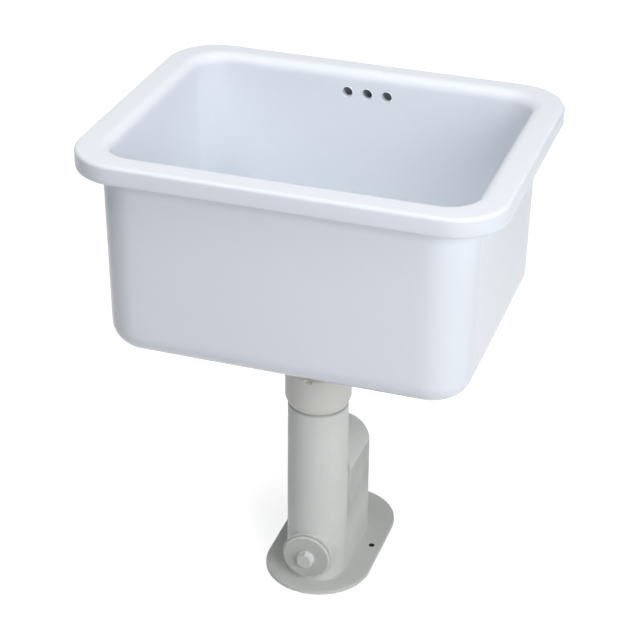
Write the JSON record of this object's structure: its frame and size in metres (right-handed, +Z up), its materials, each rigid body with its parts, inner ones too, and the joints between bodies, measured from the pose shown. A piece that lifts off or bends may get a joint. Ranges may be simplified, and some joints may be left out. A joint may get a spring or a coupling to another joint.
{
  "type": "mop service sink",
  "caption": "Deep rectangular glazed basin with a broad rim and overflow holes, standing on a cast-iron floor trap with a round union nut and a screwed clean-out plug.",
  "frame": {"origin": "on the floor, under the centre of the basin's rim", "axes": "+Z up, -Y to the front (the user's side), +Y to the wall, +X to the user's right; the sink is symmetric about x = 0"},
  "size_m": [0.51, 0.396, 0.633],
  "materials": {
    "china": "white vitreous china under a clear glossy glaze",
    "iron_paint": "sand-cast iron under pale grey satin paint",
    "nut_paint": "turned brass under warm pale grey satin paint",
    "steel": "brushed stainless steel",
    "brass": "plain turned brass, slightly dull",
    "rubber": "matte black rubber"
  },
  "bodies": {
    "stand": {"trap_body": "iron_paint", "outlet_seal": "rubber", "union_washer": "rubber", "tailpiece": "brass", "socket_washer": "rubber", "waste_body": "steel", "waste_seal": "rubber", "drain_gasket": "rubber", "basin": "china"},
    "grate": {"strainer_grate": "steel"},
    "locknut_travel": {"slip_washer": "brass"},
    "locknut": {"drain_locknut": "brass"},
    "union_travel": {"thrust_ring": "brass"},
    "union": {"union_nut": "nut_paint"},
    "cleanout_travel": {"cleanout_gasket": "rubber"},
    "cleanout": {"cleanout_plug": "iron_paint"}
  },
  "joints": [
    {"name": "grate_lift", "type": "slide", "parent": "stand", "child": "grate", "axis": [0, 0, 1], "range_m": [0, 0.26]},
    {"name": "locknut_back_off", "type": "slide", "parent": "stand", "child": "locknut_travel", "axis": [0, 0, -1], "range_m": [0, 0.0047]},
    {"name": "locknut_turn", "type": "hinge", "parent": "locknut_travel", "child": "locknut", "pos_m": [0, -0.0174, 0.3515], "axis": [0, 0, -1], "range_deg": [0, 720]},
    {"name": "union_rise", "type": "slide", "parent": "stand", "child": "union_travel", "axis": [0, 0, 1], "range_m": [0, 0.0122]},
    {"name": "union_turn", "type": "hinge", "parent": "union_travel", "child": "union", "pos_m": [0, -0.0174, 0.288], "axis": [0, 0, 1], "range_deg": [0, 1890]},
    {"name": "cleanout_draw", "type": "slide", "parent": "stand", "child": "cleanout_travel", "axis": [0, -1, 0], "range_m": [0, 0.0151]},
    {"name": "cleanout_turn", "type": "hinge", "parent": "cleanout_travel", "child": "cleanout", "pos_m": [0, -0.0614, 0.046], "axis": [0, -1, 0], "range_deg": [0, 2340]}
  ],
  "couplings": [
    {"joint": "locknut_back_off", "follows": "locknut_turn", "m_per_rad": 0.00036749},
    {"joint": "union_rise", "follows": "union_turn", "m_per_rad": 0.00036749},
    {"joint": "cleanout_draw", "follows": "cleanout_turn", "m_per_rad": 0.00036749}
  ]
}
